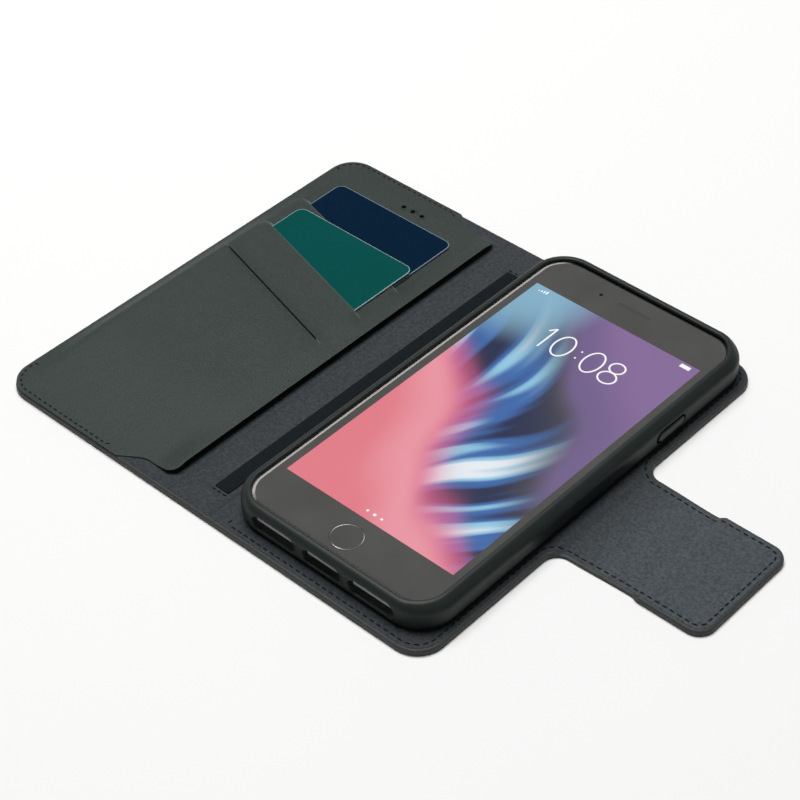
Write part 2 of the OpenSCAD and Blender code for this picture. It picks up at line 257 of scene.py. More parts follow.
def cut(bm, axis, places):
    normal = Vector((1, 0, 0)) if axis == 0 else Vector((0, 1, 0))
    for c in places:
        co = normal * c
        geom = bm.verts[:] + bm.edges[:] + bm.faces[:]
        bmesh.ops.bisect_plane(bm, geom=geom, plane_co=co, plane_no=normal, dist=TOLERANCE)


def clip(bm, x0, x1):
    for c, sign in ((x0, -1), (x1, 1)):
        geom = bm.verts[:] + bm.edges[:] + bm.faces[:]
        bmesh.ops.bisect_plane(
            bm, geom=geom, plane_co=(c, 0, 0), plane_no=(sign, 0, 0), clear_outer=True, dist=TOLERANCE
        )


def warp(bm, fn):
    for v in bm.verts:
        v.co = fn(tuple(v.co))


def prism(name, outline, rings, place):
    """A helper solid for cutting; place turns its (x, y, depth) into the model's frame."""
    bm = ring_solid(outline, rings)
    warp(bm, place)
    bmesh.ops.recalc_face_normals(bm, faces=bm.faces)
    mesh = bpy.data.meshes.new(name)
    bm.to_mesh(mesh)
    bm.free()
    obj = bpy.data.objects.new(name, mesh)
    obj.scale = (MM, MM, MM)
    bpy.context.scene.collection.objects.link(obj)
    return obj


def subtract(obj, cutters):
    """Cuts helper solids out of the object; the points that a cut makes store no place."""
    for c in cutters:
        m = obj.modifiers.new("cut", "BOOLEAN")
        m.operation = "DIFFERENCE"
        m.solver = "EXACT"
        m.object = c
    bake(obj)
    for c in cutters:
        bpy.data.objects.remove(c)


# ---- Materials ----


class Nodes:
    """Short hand for building one material's node tree."""

    def __init__(self, name, base, rough=0.5, metal=0.0, specular=0.5):
        self.material = bpy.data.materials.new(name)
        self.material.use_nodes = True
        self.tree = self.material.node_tree
        self.tree.nodes.clear()
        self.out = self.tree.nodes.new("ShaderNodeOutputMaterial")
        self.shader = self.tree.nodes.new("ShaderNodeBsdfPrincipled")
        self.tree.links.new(self.shader.outputs[0], self.out.inputs["Surface"])
        self.set("Base Color", (*base, 1))
        self.set("Roughness", rough)
        self.set("Metallic", metal)
        self.set("Specular IOR Level", specular)
        self.place = None

    def set(self, socket, value):
        self.shader.inputs[socket].default_value = value

    def node(self, kind, **values):
        n = self.tree.nodes.new(kind)
        for k, v in values.items():
            if k in n.inputs:
                n.inputs[k].default_value = v
            else:
                setattr(n, k, v)
        return n

    def link(self, a, b):
        self.tree.links.new(a, b)

    def rest(self):
        if self.place is None:
            n = self.node("ShaderNodeAttribute", attribute_name="rest")
            self.place = n.outputs["Vector"]
        return self.place

    def edge(self):
        return self.node("ShaderNodeAttribute", attribute_name="edge").outputs["Fac"]

    def stretched(self, scale):
        n = self.node("ShaderNodeMapping")
        n.inputs["Scale"].default_value = scale
        self.link(self.rest(), n.inputs["Vector"])
        return n.outputs["Vector"]

    def noise(self, scale, detail=2.0, rough=0.5, at=None):
        n = self.node("ShaderNodeTexNoise", Scale=scale, Detail=detail, Roughness=rough)
        self.link(at or self.rest(), n.inputs["Vector"])
        return n.outputs["Fac"]

    def cells(self, scale, feature="DISTANCE_TO_EDGE", at=None):
        n = self.node("ShaderNodeTexVoronoi", Scale=scale, feature=feature)
        self.link(at or self.rest(), n.inputs["Vector"])
        return n.outputs["Distance"]

    def math(self, operation, a, b=0.0, clamp=False):
        n = self.node("ShaderNodeMath", operation=operation, use_clamp=clamp)
        for socket, v in zip(n.inputs, (a, b)):
            if isinstance(v, (int, float)):
                socket.default_value = v
            else:
                self.link(v, socket)
        return n.outputs[0]

    def ramp(self, value, stops, smooth_stops=False):
        n = self.node("ShaderNodeValToRGB")
        if smooth_stops:
            n.color_ramp.interpolation = "EASE"
        while len(n.color_ramp.elements) < len(stops):
            n.color_ramp.elements.new(0.5)
        for e, (at, colour) in zip(n.color_ramp.elements, stops):
            e.position = at
            e.color = (*colour, 1)
        self.link(value, n.inputs["Fac"])
        return n.outputs["Color"]

    def mix(self, share, a, b):
        n = self.node("ShaderNodeMix", data_type="RGBA")
        factor, first, second = n.inputs[0], n.inputs[6], n.inputs[7]
        for socket, v in zip((factor, first, second), (share, a, b)):
            if isinstance(v, tuple):
                socket.default_value = (*v, 1)
            elif isinstance(v, (int, float)):
                socket.default_value = v
            else:
                self.link(v, socket)
        return n.outputs[2]

    def bump(self, height, distance, strength=1.0, under=None):
        n = self.node("ShaderNodeBump", Distance=distance * MM, Strength=strength)
        self.link(height, n.inputs["Height"])
        if under:
            self.link(under, n.inputs["Normal"])
        return n.outputs["Normal"]

    def colour(self, socket):
        self.link(socket, self.shader.inputs["Base Color"])

    def normal(self, socket):
        self.link(socket, self.shader.inputs["Normal"])


BLANK = (0.0, 0.0, 0.0)


def scaled(colour, share):
    return tuple(c * share for c in colour)


def leather(name, dark, light, wear_and_highlight, rough=0.52):
    """Grained leather; the third colour is that of its cut and rubbed edges, and on the wallet's slit
    edges it is partly a painted highlight.
    """
    m = Nodes(name, dark, rough, specular=0.25)
    cloudy = m.noise(0.05, 3.0, 0.55)
    fine = m.noise(0.9, 4.0, 0.7)
    grain = m.cells(1.1)
    grain = m.math("MINIMUM", m.math("MULTIPLY", grain, 2.4), 1.0)
    tone = m.mix(cloudy, dark, light)
    specks = m.ramp(fine, [(0.38, (0.75, 0.75, 0.75)), (0.62, BLANK)])
    tone = m.mix(specks, tone, scaled(dark, 0.8))
    valleys = m.math("MULTIPLY", m.math("SUBTRACT", 1.0, grain), 0.45)
    tone = m.mix(valleys, tone, scaled(dark, 0.7))
    # Lighter edges: rubbed wear on the outer leather; on the wallet's slits, a pale cut edge with a
    # painted highlight
    m.colour(m.mix(m.edge(), tone, wear_and_highlight))
    creased = m.noise(0.35, 4.0, 0.6)
    low = m.bump(creased, 0.18, 0.7)
    m.normal(m.bump(grain, 0.085, 0.8, low))
    m.link(m.math("ADD", m.math("MULTIPLY", fine, 0.16), rough - 0.08), m.shader.inputs["Roughness"])
    return m.material


def suede(name, dark, light, folds=()):
    """Brushed nap, with painted shade along each fold given as (x, width, depth) and painted light on
    the tab.
    """
    m = Nodes(name, dark, 0.95, specular=0.15)
    m.set("Sheen Weight", 0.08)
    m.set("Sheen Roughness", 0.55)
    m.set("Sheen Tint", (0.75, 0.8, 0.85, 1))
    brushed = m.noise(0.12, 3.0, 0.6, m.stretched((1.0, 0.8, 1.0)))
    nap = m.noise(0.95, 4.0, 0.75)
    tone = m.ramp(nap, [(0.36, dark), (0.64, light)])
    tone = m.mix(m.math("MULTIPLY", brushed, 0.3), tone, dark)
    split = m.node("ShaderNodeSeparateXYZ")
    m.link(m.rest(), split.inputs[0])
    # Painted shade in each fold's crease
    for x, width, depth in folds:
        away = m.math("ABSOLUTE", m.math("SUBTRACT", split.outputs["X"], x))
        near = m.math("SUBTRACT", 1.0, m.math("DIVIDE", away, width), clamp=True)
        wobble = m.math("MULTIPLY", near, m.math("ADD", m.math("MULTIPLY", brushed, 1.2), 0.2))
        shade = m.math("MULTIPLY", wobble, depth)
        tone = m.mix(m.math("MINIMUM", shade, 0.85), tone, scaled(dark, 0.3))
    # Painted light: the tab's colours are 1.5 times lighter, for the stronger light that falls on it
    tab = m.math("DIVIDE", m.math("SUBTRACT", split.outputs["X"], COVER_X1 + 3), 14.0, clamp=True)
    painted_tab_light = m.ramp(nap, [(0.36, scaled(dark, 1.5)), (0.64, scaled(light, 1.5))])
    tone = m.mix(tab, tone, painted_tab_light)
    m.colour(tone)
    m.normal(m.bump(nap, 0.16, 0.7))
    return m.material


def plastic(name, base, rough, grain=0.02, specular=0.5):
    m = Nodes(name, base, rough, specular=specular)
    fine = m.noise(3.4, 2.0, 0.5)
    m.normal(m.bump(fine, grain, 0.5))
    # Lighter where the edge attribute is set: a painted highlight on the tray's lip, and towards the
    # button pads' rounded tops
    light = tuple(c * 1.5 + 0.002 for c in base)
    m.colour(m.mix(m.edge(), m.mix(m.noise(0.06, 2.0), base, light), light))
    return m.material


def woven(name, base, light, pitch):
    m = Nodes(name, base, 0.85, specular=0.12)
    waves = []
    for axis in ("X", "Y"):
        w = m.node("ShaderNodeTexWave", wave_type="BANDS", bands_direction=axis, Scale=pitch)
        m.link(m.rest(), w.inputs["Vector"])
        waves.append(w.outputs["Fac"])
    weave = m.math("MULTIPLY", waves[0], waves[1])
    m.colour(m.mix(weave, base, light))
    m.normal(m.bump(weave, 0.08, 0.7))
    m.set("Sheen Weight", 0.03)
    return m.material


def metal(name, base, rough, brushed=True):
    m = Nodes(name, base, rough, 1.0)
    lines = m.noise(1.2, 3.0, 0.6, m.stretched((0.2, 4.0, 4.0) if brushed else (3.0, 3.0, 3.0)))
    m.link(m.math("ADD", m.math("MULTIPLY", lines, 0.15), rough), m.shader.inputs["Roughness"])
    return m.material


LEATHER = leather(
    "leather_outer",
    (0.021, 0.028, 0.026),
    (0.031, 0.037, 0.035),
    (0.052, 0.057, 0.053),
)
WALLET = leather(
    "leather_wallet",
    (0.022, 0.0325, 0.028),
    (0.035, 0.0465, 0.0395),
    (0.26, 0.31, 0.30),
    0.55,
)
SUEDE = suede(
    "suede_lining",
    (0.023, 0.028, 0.032),
    (0.050, 0.056, 0.061),
    [(FOLD_FRONT, 0.9, 0.25), (FOLD_BACK, 0.9, 0.5)],
)
TRAY_COLOUR = (0.0105, 0.0145, 0.0138)
TRAY = plastic("tray_plastic", TRAY_COLOUR, 0.42, 0.025, 0.19)
BUTTON = plastic("button_plastic", TRAY_COLOUR, 0.4, 0.02, 0.19)
STRIP = woven("strip_weave", (0.003, 0.006, 0.008), (0.008, 0.012, 0.015), 2.4)
POCKET = woven("pocket_weave", (0.006, 0.007, 0.008), (0.012, 0.013, 0.014), 2.0)
BOARD = plastic("board", (0.36, 0.31, 0.24), 0.9)
STEEL = metal("plated_steel", (0.55, 0.56, 0.57), 0.25)
SHEET_STEEL = metal("sheet_steel", (0.5, 0.5, 0.49), 0.35)

# Where the housing's sides turn to its shoulder, and how far its painted rim highlight and painted
# foot glint reach
SHOULDER_Z = 8.4
SHOULDER_RISE = 1.6
LEFT_RIM_X = -31.0
LEFT_RIM_FADE = 4.0
FOOT_REACH = 1.4
FOOT_FADE = 1.2


def housing_metal():
    """Dyed aluminium: pale sides, dark shoulder, a painted highlight on the left rim and a painted
    glint glowing faintly at the foot.
    """
    m = Nodes("dyed_aluminium_painted_highlights", (0.5, 0.5, 0.5), 0.27, 1.0)
    split = m.node("ShaderNodeSeparateXYZ")
    m.link(m.rest(), split.inputs[0])
    x, y, z = (split.outputs[axis] for axis in "XYZ")
    up = m.math("DIVIDE", m.math("SUBTRACT", z, SHOULDER_Z), SHOULDER_RISE, clamp=True)
    left = m.math("DIVIDE", m.math("SUBTRACT", LEFT_RIM_X, x), LEFT_RIM_FADE, clamp=True)
    # Painted highlight: the left rim's shoulder is paler and less metallic
    rim_highlight = m.math("MULTIPLY", up, left)
    colour = m.mix(up, (0.62, 0.62, 0.62), (0.09, 0.09, 0.09))
    m.colour(m.mix(rim_highlight, colour, (0.40, 0.385, 0.37)))
    metallic = m.math("SUBTRACT", 1.0, m.math("MULTIPLY", rim_highlight, 0.85))
    m.link(metallic, m.shader.inputs["Metallic"])
    # Painted glint: the sides near the foot glow faintly
    past_foot = m.math("SUBTRACT", HOUSING_LOW[1] + FOOT_REACH, y)
    foot_glint = m.math("DIVIDE", past_foot, FOOT_FADE, clamp=True)
    foot_glint = m.math("MULTIPLY", foot_glint, m.math("SUBTRACT", 1.0, up))
    m.link(m.mix(foot_glint, BLANK, (0.12, 0.12, 0.12)), m.shader.inputs["Emission Color"])
    m.set("Emission Strength", 1.0)
    return m.material


HOUSING = housing_metal()
FACE = plastic("cover_glass", (0.053, 0.053, 0.050), 0.14, 0.0005, 0.35)
HOME = plastic("home_button_glass", (0.050, 0.050, 0.048), 0.14, 0.0005, 0.35)
BLACK = plastic("camera_glass", (0.006, 0.006, 0.007), 0.12, 0.0005)
THREAD = woven("thread", (0.003, 0.004, 0.004), (0.009, 0.011, 0.011), 3.0)


def card_stock(name, base, rim):
    m = Nodes(name, base, 0.2, specular=0.14)
    soft = m.noise(0.03, 2.0)
    m.colour(m.mix(m.edge(), m.mix(soft, base, scaled(base, 1.12)), rim))
    m.normal(m.bump(m.noise(2.0, 2.0), 0.006, 0.4))
    return m.material


GREEN = card_stock("green_card_stock", (0.0004, 0.056, 0.051), (0.36, 0.50, 0.50))
NAVY = card_stock("navy_card_stock", (0.0002, 0.0095, 0.026), (0.26, 0.34, 0.45))

for node, material in {
    "back_cover_board": BOARD,
    "spine_stiffener": BOARD,
    "front_cover_board": BOARD,
    "tab_end_board": BOARD,
    "keeper_plate": SHEET_STEEL,
    "tab_magnets": STEEL,
    "phone_housing": HOUSING,
    "phone_front_glass": FACE,
    "phone_home_button": HOME,
    "phone_camera": BLACK,
}.items():
    mesh = frame["nodes"][node].data
    mesh.materials.clear()
    mesh.materials.append(material)
    place = mesh.attributes.new("rest", "FLOAT_VECTOR", "POINT")
    points = np.zeros(len(mesh.vertices) * 3, np.float32)
    mesh.vertices.foreach_get("co", points)
    place.data.foreach_set("vector", points / MM)

# ---- Outer leather and lining, in spans cut at the four folds ----

# Rings of (inset, height): round the leather's turned edge, then down under the lining
LEATHER_RINGS = [(1.0, 0.0), (0.5, 0.05), (0.17, 0.26), (0.0, 0.68), (0.0, 1.36)]
LEATHER_RINGS += [(0.14, 1.85), (0.45, 2.14), (0.9, 2.24), (1.35, 2.2), (1.75, 2.05)]
LEATHER_EDGE = [0.0, 0.25, 0.6, 0.85, 0.85, 0.75, 0.5, 0.2, 0.05, 0.0]
LINING_RINGS = [(1.05, 2.08), (1.0, 2.22), (1.02, 2.32), (1.14, 2.38), (1.35, COVER_T)]
# Each span: its name, where it starts and ends, the bodies on its left and right, and its fold
SPANS = [
    ("front", COVER_X0 - 5, MID_SPINE, "front", "spine", FOLD_FRONT),
    ("spine", MID_SPINE, 0.0, "spine", "back", FOLD_BACK),
    ("root", 0.0, MID_TAB_SIDE, "back", "tab_side", FOLD_TAB),
    ("end", MID_TAB_SIDE, TAB_X1 + 5, "tab_side", "tab_end", FOLD_TAB_END),
]
STANDS_FOR = {
    "front": ["front_cover"],
    "spine": ["spine"],
    "root": ["back_cover", "tab_side"],
    "end": ["tab_end"],
}


def fold_cuts(x, half=2.6, n=10):
    return [x - half + 2 * half * i / n for i in range(n + 1)]


def bend(obj):
    """Puts the piece's placement into its mesh."""
    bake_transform(obj)


def crease(p):
    """A shallow groove in the lining along each of the spine's folds."""
    x, y, z = p
    if z < COVER_T - 0.15:
        return p
    for fold, depth in ((FOLD_FRONT, 0.05), (FOLD_BACK, 0.1)):
        z -= depth * math.exp(-(((x - fold) / 0.9) ** 2))
    return (x, y, z)


WINDOW_LOW, WINDOW_HIGH = 1.0, 35.0
WINDOW_H = 14.0
WINDOW_Y = box("phone_camera")[0][1] / 2 + box("phone_camera")[1][1] / 2


def window_cutter(name):
    middle = np.array([(WINDOW_HIGH + WINDOW_LOW) / 2, WINDOW_Y])
    outline = capsule(WINDOW_HIGH - WINDOW_LOW, WINDOW_H, 9.0) + middle
    return prism(name, outline, [(0, -3), (0, 6)], lambda p: p)


for kind, rings, edge, material in (
    ("leather", LEATHER_RINGS, LEATHER_EDGE, LEATHER),
    ("lining", LINING_RINGS, None, SUEDE),
):
    for part, x0, x1, left, right, fold in SPANS:
        bm = ring_solid(FOLIO, rings, edge)
        clip(bm, x0, x1)
        lo, hi = max(x0, COVER_X0), min(x1, TAB_X1)
        plain = [x for x in np.arange(math.ceil(lo), hi, 4.0) if abs(x - fold) > 3]
        cut(bm, 0, fold_cuts(fold) + plain)
        if part in ("root", "end"):
            cut(bm, 0, [x for x in np.arange(max(lo, COVER_X1 - 4), hi, 1.0)])
        cut(bm, 1, np.arange(-80, 81, 8.0))
        if kind == "lining":
            warp(bm, crease)
        warp(bm, tab_shape)
        name = f"{kind}_{part}"
        obj = to_object(name, bm, None, [material])
        if part == "root":
            subtract(obj, [window_cutter("window_" + kind)])
            obj.data.set_sharp_from_angle(angle=math.radians(38))
        bend(obj)
        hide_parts(*[f"{n}_{kind}" for n in STANDS_FOR[part]])

# ---- Stitching ----


def along(points, start, pitch):
    """(point, direction) at even steps along a line of points."""
    p = np.asarray(points, float)
    steps = np.linalg.norm(np.diff(p, axis=0), axis=1)
    total = np.r_[0, np.cumsum(steps)]
    out = []
    s = start
    while s < total[-1]:
        i = min(int(np.searchsorted(total, s, "right")) - 1, len(steps) - 1)
        t = (s - total[i]) / steps[i]
        out.append((p[i] + (p[i + 1] - p[i]) * t, (p[i + 1] - p[i]) / steps[i]))
        s += pitch
    return out


STITCH_PITCH = 2.75
STITCH_LENGTH = 2.1
STITCH_HALF_W = 0.3
STITCH_RISE = 0.15


def add_stitch(bm, at, direction, z, length=STITCH_LENGTH):
    """One dash of thread, rounded and dipping into the surface at both ends."""
    u = np.array([direction[0], direction[1]])
    u = u / np.linalg.norm(u)
    turn = random.uniform(-0.05, 0.05)
    u = np.array([u[0] - u[1] * turn, u[1] + u[0] * turn])
    v = np.array([-u[1], u[0]])
    rows = []
    for t in (-1.0, -0.72, -0.25, 0.25, 0.72, 1.0):
        fat = math.sqrt(max(0.0, 1 - t**4)) * 0.92 + 0.08
        row = []
        for k in range(6):
            a = math.pi * k / 5
            side = math.cos(a) * STITCH_HALF_W * fat
            up = math.sin(a) * STITCH_RISE * fat - 0.05 * t * t
            q = np.array(at) + u * t * length / 2 + v * side
            row.append(bm.verts.new((q[0], q[1], z + up)))
        rows.append(row)
    for r, s in zip(rows, rows[1:]):
        for k in range(5):
            bm.faces.new((r[k], s[k], s[k + 1], r[k + 1]))


SEAM_INSET = 2.5
SEAM_START_X = -36.8
strip_low, strip_high = box("spine_strip")
seam = inset(FOLIO, SEAM_INSET)
dense = np.vstack([seam, seam[:1]])
lines = along(dense, 0.0, STITCH_PITCH)
for part, x0, x1, left, right, fold in SPANS[1:]:
    bm = bmesh.new()
    for at, direction in lines:
        if max(x0, SEAM_START_X) <= at[0] < x1 and abs(at[0] - fold) > 0.4:
            add_stitch(bm, at, direction, COVER_T)
    if part == "spine":
        for side in (-1, 1):
            y = side * (HALF_H - SEAM_INSET)
            add_stitch(bm, (SEAM_START_X - 0.6, y - side * 1.2), (0.1, 1), COVER_T, 1.9)
        for y in (strip_low[1] - 1.0, strip_high[1] + 1.0):
            for k in range(3):
                x = strip_low[0] + 0.6 + k * 2.3
                add_stitch(bm, (x, y), (1, 0.12), COVER_T, 1.7)
    warp(bm, tab_shape)
    obj = to_object("stitching_" + part, bm, None, [THREAD])
    bend(obj)

# ---- Strip on the spine ----

STRIP_T = strip_high[2] - COVER_T
bm = ring_solid(
    rect(strip_low[0], strip_low[1], strip_high[0], strip_high[1], 0.35, 45),
    [
        (0.2, COVER_T - 0.1),
        (0.0, COVER_T + 0.12),
        (0.0, COVER_T + STRIP_T - 0.25),
        (0.1, COVER_T + STRIP_T - 0.06),
        (0.3, COVER_T + STRIP_T),
    ],
)
cut(bm, 1, np.arange(strip_low[1] + 3, strip_high[1], 3.0))
strip = to_object("spine_strip_tape", bm, "spine", [STRIP])
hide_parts("spine_strip")

# ---- Wallet: one sheet with three slits over the cards ----

SLIT_SLOPE = math.tan(math.radians(15.5))
SLIT_X0, SLIT_X1 = box("pocket_liner_lower")[0][0], box("pocket_liner_lower")[1][0]
SLIT_MID = (SLIT_X0 + SLIT_X1) / 2
SLITS = []
for liner in ("pocket_liner_upper", "pocket_liner_middle", "pocket_liner_lower"):
    low, high = box(liner)
    SLITS.append(high[1] - SLIT_SLOPE * (SLIT_MID - low[0]))
SHEET_T = 0.4
BACK_T = 0.3
CLOTH_T = 0.08
# The lowest slit's upper lip stands up, and its lower one lies down
LIP_UP, LIP_UP_REACH = 0.7, 2.4
LIP_DOWN, LIP_DOWN_REACH = 0.5, 5.0
# The free inner edge rises over INNER_BEND to its height at the ends, plus its lift between them
INNER_BEND = 9.0
FREE_EDGE_Z, FREE_EDGE_LIFT = 3.9, 1.5
# How far in from the left, bottom and top edges the sheet reaches its own height
LEFT_RISE, BOTTOM_RISE, TOP_RISE = 7.5, 42.0, 8.0
# Height of the sheet beyond the uppermost slit, then below each slit in turn
LEVELS = [NAVY_LOW[2] - 0.06, GREEN_LOW[2] - 0.06]
LEVELS += [GREEN_HIGH[2] + SHEET_T + 0.04, WALLET_HIGH[2]]
EDGE_Z = COVER_T + 0.42
WALLET_X1 = WALLET_HIGH[0]
NOTCH = 5.8
NOTCH_START, NOTCH_END = 21.0, 12.5


def wallet_outline(d, back=0.0):
    """The wallet's outline, inset by d at its sewn edges and by back at its free inner edge."""
    step = HALF_H - NOTCH
    return round_poly(
        [
            (COVER_X0 + d, -HALF_H + d, COVER_R - d),
            (WALLET_X1 - NOTCH_START, -HALF_H + d, 2.0),
            (WALLET_X1 - NOTCH_END, -step, 7.0),
            (WALLET_X1 - back, -step - 0.4 + back, 3.8),
            (WALLET_X1 - back, step + 0.4 - back, 3.8),
            (WALLET_X1 - NOTCH_END, step, 7.0),
            (WALLET_X1 - NOTCH_START, HALF_H - d, 2.0),
            (COVER_X0 + d, HALF_H - d, COVER_R - d),
        ],
        9.0,
    )


def wallet_height(x, y, sides=(0, 0, 0)):
    """Height of the sheet's top; sides says on which side of each slit a doubled point lies."""
    z = LEVELS[0]
    taper = smooth((x - SLIT_X0) / 3.2) * smooth((SLIT_X1 - x) / 2.0)
    for k, slit in enumerate(SLITS):
        d = slit - SLIT_SLOPE * (x - SLIT_MID) - y
        sign = sides[k] or (1 if d > 0 else -1)
        share = taper + (1 - taper) * smooth(abs(d) / 4.5)
        z += (LEVELS[k + 1] - LEVELS[k]) * (0.5 + 0.5 * sign * share)
        if k == 2:
            above = LIP_UP * math.exp(-abs(d) / LIP_UP_REACH)
            below = -LIP_DOWN * math.exp(-abs(d) / LIP_DOWN_REACH)
            z += taper * (above if sign < 0 else below)
    left = smooth((x - COVER_X0 - 0.3) / LEFT_RISE)
    bottom = smooth((y + HALF_H - 1) / BOTTOM_RISE)
    top = smooth((HALF_H - 1 - y) / TOP_RISE)
    z = EDGE_Z + (z - EDGE_Z) * left * bottom * top
    inner = smooth((x - WALLET_X1 + INNER_BEND) / INNER_BEND)
    ends = smooth((y + HALF_H - 2) / 11) * smooth((HALF_H - 2 - y) / 11)
    lifted = FREE_EDGE_Z + FREE_EDGE_LIFT * ends
    return z + (lifted - z) * inner


def face_up(bm):
    bm.normal_update()
    for f in bm.faces:
        if f.normal.z < 0:
            f.normal_flip()


def slant_cut(bm, places):
    """Cuts along lines that run parallel to the slits."""
    normal = Vector((SLIT_SLOPE, 1, 0)).normalized()
    for c in places:
        co = (SLIT_MID, c, 0)
        geom = bm.verts[:] + bm.edges[:] + bm.faces[:]
        bmesh.ops.bisect_plane(bm, geom=geom, plane_co=co, plane_no=normal, dist=TOLERANCE)


# Rows of points close to a slit, so that its lips can curl
LIP_ROWS = (-2.2, -1.2, -0.6, -0.25, 0, 0.25, 0.6, 1.2, 2.2)
LIP_REACH = 2.4


def sheet_mesh(outline, step_x, step_y, near=()):
    """A flat sheet cut into cells, with closer rows along each slit in near."""
    bm = bmesh.new()
    fill(bm, [bm.verts.new((x, y, 0)) for x, y in outline])
    cut(bm, 0, np.arange(COVER_X0 + 1, WALLET_X1, step_x))
    every = np.arange(-HALF_H - 12, HALF_H + 12, step_y)
    rows = [y for y in every if all(abs(y - c) > LIP_REACH for c in near)]
    slant_cut(bm, rows + [c + d for c in near for d in LIP_ROWS])
    return bm


# How far a slit's moving lip is drawn back, with more at its left end
SLIT_GAP = 0.6
END_GAPE, LOWEST_END_GAPE = 0.8, 0.35
# Share of the pale edge colour: at the slits' cut edges it is partly the pale cut leather and partly a
# painted highlight; other edges get little
SLIT_EDGE_WEAR_AND_HIGHLIGHT, CLEAN_EDGE = 0.34, 0.03
bm = sheet_mesh(wallet_outline(0.35), 2.0, 2.0, SLITS)


def off_slit(v, slit):
    return slit - SLIT_SLOPE * (v.co.x - SLIT_MID) - v.co.y


slit_edges = [
    e
    for e in bm.edges
    for slit in SLITS
    if all(abs(off_slit(v, slit)) < 1e-3 and SLIT_X0 < v.co.x < SLIT_X1 for v in e.verts)
]
bmesh.ops.split_edges(bm, edges=slit_edges)
layer = bm.verts.layers.float.new("edge")
heights = {}
parted = {}
for v in bm.verts:
    sides = [0, 0, 0]
    for k, slit in enumerate(SLITS):
        if abs(off_slit(v, slit)) < 1e-3 and SLIT_X0 < v.co.x < SLIT_X1:
            middles = [f.calc_center_median() for f in v.link_faces]
            centre = sum(middles, Vector()) / len(middles)
            sides[k] = 1 if slit - SLIT_SLOPE * (centre.x - SLIT_MID) - centre.y > 0 else -1
            moves = 1 if k == 2 else -1
            if sides[k] == moves:
                ends = smooth((v.co.x - SLIT_X0) / 1.2) * smooth((SLIT_X1 - v.co.x) / 1.2)
                gape = END_GAPE if k < 2 else LOWEST_END_GAPE
                gape *= 1 - smooth((v.co.x - SLIT_X0 - 3.2) / 2)
                parted[v] = -moves * (SLIT_GAP + gape) * ends
    heights[v] = wallet_height(v.co.x, v.co.y, sides)
    # Slit edges take the pale edge colour, partly a painted highlight
    wear_and_highlight = any(sides[:2]) or sides[2] == 1
    if v.is_boundary:
        v[layer] = SLIT_EDGE_WEAR_AND_HIGHLIGHT if wear_and_highlight else CLEAN_EDGE
for v, z in heights.items():
    v.co.z = z
    v.co.y += parted.get(v, 0.0)
face_up(bm)
wallet = to_object("wallet_sheet", bm, None, [WALLET], closed=False)
thick = wallet.modifiers.new("thickness", "SOLIDIFY")
thick.thickness = SHEET_T * MM
thick.offset = -1
rim = wallet.modifiers.new("rim", "BEVEL")
rim.width = 0.11 * MM
rim.segments = 2
rim.angle_limit = math.radians(60)
bake(wallet)
HOLE_PITCH = 4.3
HOLE_X = [SLIT_MID + 4 + HOLE_PITCH * i for i in (-1, 0, 1)]
HOLE_Y = 72.6
HOLE_D = 1.7
HOLE_DEPTHS = [(0, COVER_T + 0.05), (0, 6)]


def hole_cutters(name):
    outline = capsule(HOLE_D, HOLE_D - 0.01, 20)
    return [
        prism(f"{name}_{i}", outline + np.array([x, HOLE_Y]), HOLE_DEPTHS, lambda p: p)
        for i, x in enumerate(HOLE_X)
    ]


subtract(wallet, hole_cutters("hole"))
wallet.data.set_sharp_from_angle(angle=math.radians(45))
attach(wallet, "front")
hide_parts("wallet_face")

# The wallet's back rises to meet the sheet along its inner edge, and lies flat elsewhere
bm = sheet_mesh(wallet_outline(0.75, 1.3), 3.0, 3.0)
for v in bm.verts:
    rise = smooth((v.co.x - WALLET_X1 + 7) / 6)
    flat = COVER_T + 0.12 + 0.5 * smooth((v.co.x - COVER_X0 - 2) / 6)
    under = wallet_height(v.co.x, v.co.y) - SHEET_T - 0.02
    v.co.z = min(under, flat + (under - flat) * rise)
face_up(bm)
panel = to_object("wallet_back", bm, None, [WALLET], closed=False)
thick = panel.modifiers.new("thickness", "SOLIDIFY")
thick.thickness = BACK_T * MM
thick.offset = -1
bake(panel)
subtract(panel, hole_cutters("panel_hole"))
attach(panel, "front")
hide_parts("wallet_back_panel")

# Fabric behind each slit, following the sheet down where no card holds it up
CLOTH_BELOW_SLIT = 8.0
for k, liner in enumerate(("pocket_liner_upper", "pocket_liner_middle", "pocket_liner_lower")):
    low, high = box(liner)
    bm = bmesh.new()
    top = SLITS[k] - CLOTH_BELOW_SLIT
    corners = ((low[0], low[1]), (high[0], low[1]), (high[0], top), (low[0], top))
    fill(bm, [bm.verts.new((*q, 0)) for q in corners])
    cut(bm, 0, np.arange(low[0] + 2, high[0], 4.0))
    cut(bm, 1, np.arange(low[1] + 2, high[1], 4.0))
    for v in bm.verts:
        v.co.z = min(low[2] + 0.1, wallet_height(v.co.x, v.co.y) - SHEET_T - 0.1 * (3 - k))
    face_up(bm)
    piece = to_object(liner + "_cloth", bm, None, [POCKET], closed=False)
    thick = piece.modifiers.new("thickness", "SOLIDIFY")
    thick.thickness = CLOTH_T * MM
    bake(piece)
    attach(piece, "front")
    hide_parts(liner)

# Thread round the wallet's outer corners and along its short edges, hooked in at each end
THREAD_IN = 1.8
bm = bmesh.new()
